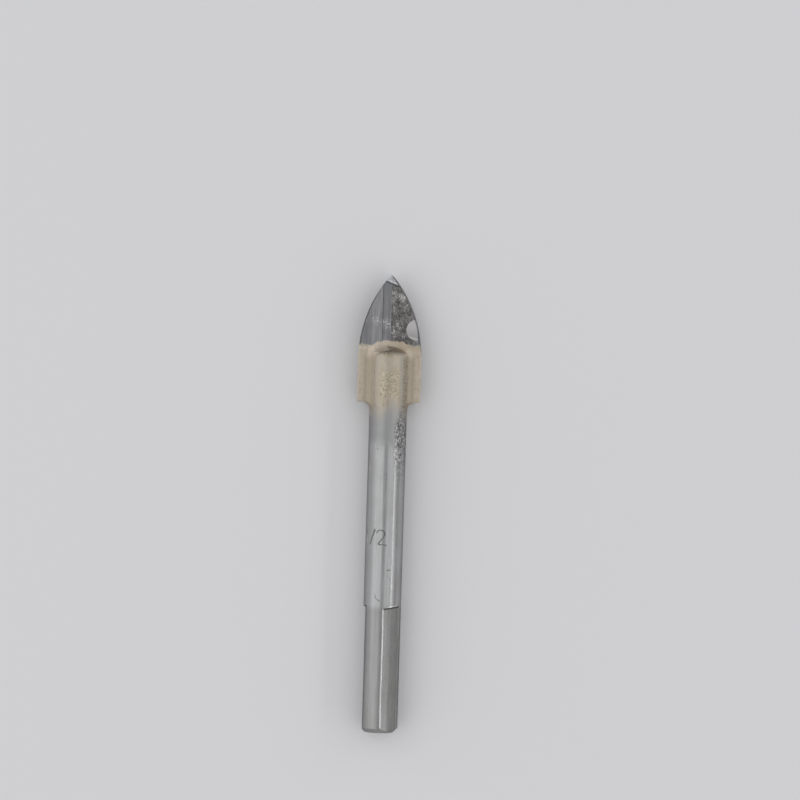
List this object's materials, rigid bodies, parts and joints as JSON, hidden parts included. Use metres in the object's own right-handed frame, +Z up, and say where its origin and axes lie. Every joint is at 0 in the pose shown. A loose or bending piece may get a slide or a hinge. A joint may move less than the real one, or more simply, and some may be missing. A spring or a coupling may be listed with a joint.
{
  "type": "glass and tile drill bit",
  "caption": "Spear-point drill bit for glass and tile: a pointed carbide plate brazed across the nose of a round steel shank, with flats at the tail for a chuck.",
  "frame": {"origin": "on the surface that the bit lies on, below the middle of its length", "axes": "+Y along the shank to the point, +Z up out of the plate's wide face, +X across the plate"},
  "size_m": [0.0126, 0.092, 0.0076],
  "materials": {
    "shank_steel": "turned and ground steel, satin, with a straw heat tint at the brazed end",
    "carbide": "sintered tungsten carbide, ground satin, darker on the relieved flanks",
    "braze": "brass brazing metal as it set, dull gold with flux stains"
  },
  "bodies": {
    "root": {"shank": "shank_steel", "carbide_tip": "carbide", "braze_joint": "braze"}
  },
  "joints": []
}
